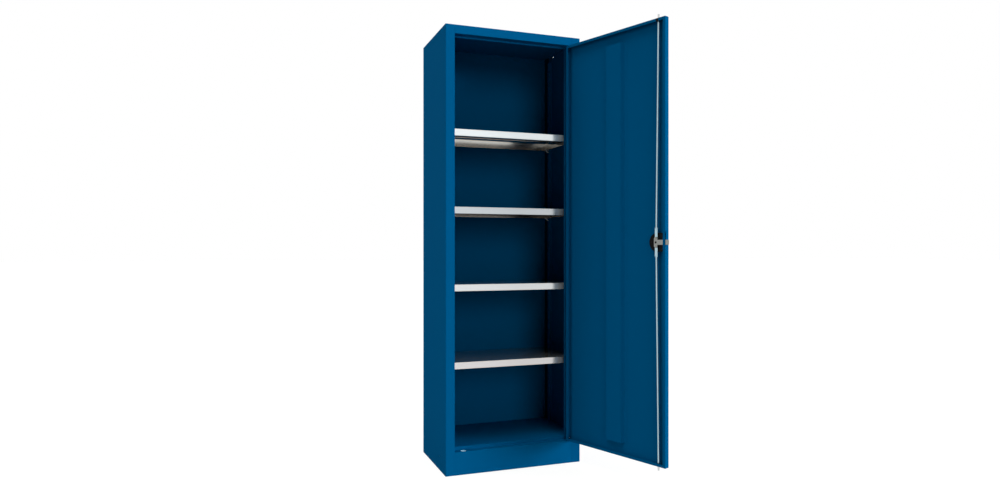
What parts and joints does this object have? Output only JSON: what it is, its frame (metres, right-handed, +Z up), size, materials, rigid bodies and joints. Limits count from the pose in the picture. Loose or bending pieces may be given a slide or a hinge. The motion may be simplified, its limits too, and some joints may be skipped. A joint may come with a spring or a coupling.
{
  "type": "storage cabinet",
  "caption": "Tall narrow sheet-steel storage cabinet with a flush hinged door, adjustable galvanised shelves on slotted rails and a turning handle that throws a rod lock.",
  "frame": {"origin": "centre of the carcass footprint, on the floor", "axes": "+X to the right as the cabinet is faced, +Y to the back, +Z up"},
  "size_m": [0.8102, 0.9276, 1.95],
  "materials": {
    "blue_powder_coat": "satin",
    "galvanised_sheet": "satin",
    "spring_steel": "satin",
    "zinc_plated_steel": "bright",
    "blackened_steel": "satin",
    "black_plastic": "moulded",
    "white_nylon": "moulded",
    "black_rubber": "matt",
    "nickel": "polished"
  },
  "bodies": {
    "cabinet": {"left_side_panel": "blue_powder_coat", "right_side_panel": "blue_powder_coat", "top_panel": "blue_powder_coat", "back_panel": "blue_powder_coat", "plinth_panel": "blue_powder_coat", "floor_panel": "blue_powder_coat", "shelf_rail_left_front": "blue_powder_coat", "shelf_rail_left_rear": "blue_powder_coat", "shelf_rail_right_front": "blue_powder_coat", "shelf_rail_right_rear": "blue_powder_coat", "upper_pivot_pin": "zinc_plated_steel", "lower_pivot_pin": "zinc_plated_steel", "upper_rod_strike": "black_plastic", "lower_rod_strike": "white_nylon", "door_buffers": "black_rubber", "shelf_1": "galvanised_sheet", "shelf_stiffener_1": "galvanised_sheet", "shelf_clips_1": "spring_steel", "shelf_2": "galvanised_sheet", "shelf_stiffener_2": "galvanised_sheet", "shelf_clips_2": "spring_steel", "shelf_3": "galvanised_sheet", "shelf_stiffener_3": "galvanised_sheet", "shelf_clips_3": "spring_steel", "shelf_4": "galvanised_sheet", "shelf_stiffener_4": "galvanised_sheet", "shelf_clips_4": "spring_steel"},
    "door": {"door_panel": "blue_powder_coat", "door_stiffener": "blue_powder_coat", "upper_pivot_bush": "black_plastic", "lower_pivot_bush": "black_plastic", "lock_housing": "black_plastic", "lock_screws": "blackened_steel", "upper_rod_guide": "black_plastic", "lower_rod_guide": "black_plastic", "handle_escutcheon": "black_plastic"},
    "handle": {"handle_grip": "black_plastic", "lock_spindle": "zinc_plated_steel", "lock_cam": "zinc_plated_steel", "cam_pins": "zinc_plated_steel", "lock_barrel": "nickel"},
    "key_plug": {"cylinder_plug": "nickel"},
    "upper_rod": {"upper_rod": "zinc_plated_steel"},
    "lower_rod": {"lower_rod": "zinc_plated_steel"}
  },
  "joints": [
    {"name": "door_hinge", "type": "hinge", "parent": "cabinet", "child": "door", "pos_m": [0.2705, -0.19416, 1.006], "axis": [0, 0, 1], "range_deg": [-110, 0]},
    {"name": "handle_turn", "type": "hinge", "parent": "door", "child": "handle", "pos_m": [0.44666, -0.66107, 1.006], "axis": [-0.9397, -0.342, 0], "range_deg": [0, 90]},
    {"name": "upper_rod_pivot", "type": "hinge", "parent": "handle", "child": "upper_rod", "pos_m": [0.44666, -0.66107, 1.024], "axis": [-0.9397, -0.342, 0], "range_deg": [-92, 0]},
    {"name": "lower_rod_pivot", "type": "hinge", "parent": "handle", "child": "lower_rod", "pos_m": [0.44666, -0.66107, 0.988], "axis": [-0.9397, -0.342, 0], "range_deg": [-92, 0]},
    {"name": "key_turn", "type": "hinge", "parent": "handle", "child": "key_plug", "pos_m": [0.44666, -0.66107, 1.006], "axis": [-0.9397, -0.342, 0], "range_deg": [0, 90]}
  ],
  "couplings": [
    {"joint": "upper_rod_pivot", "follows": "handle_turn", "ratio": -1.0127},
    {"joint": "lower_rod_pivot", "follows": "handle_turn", "ratio": -1.0127}
  ]
}
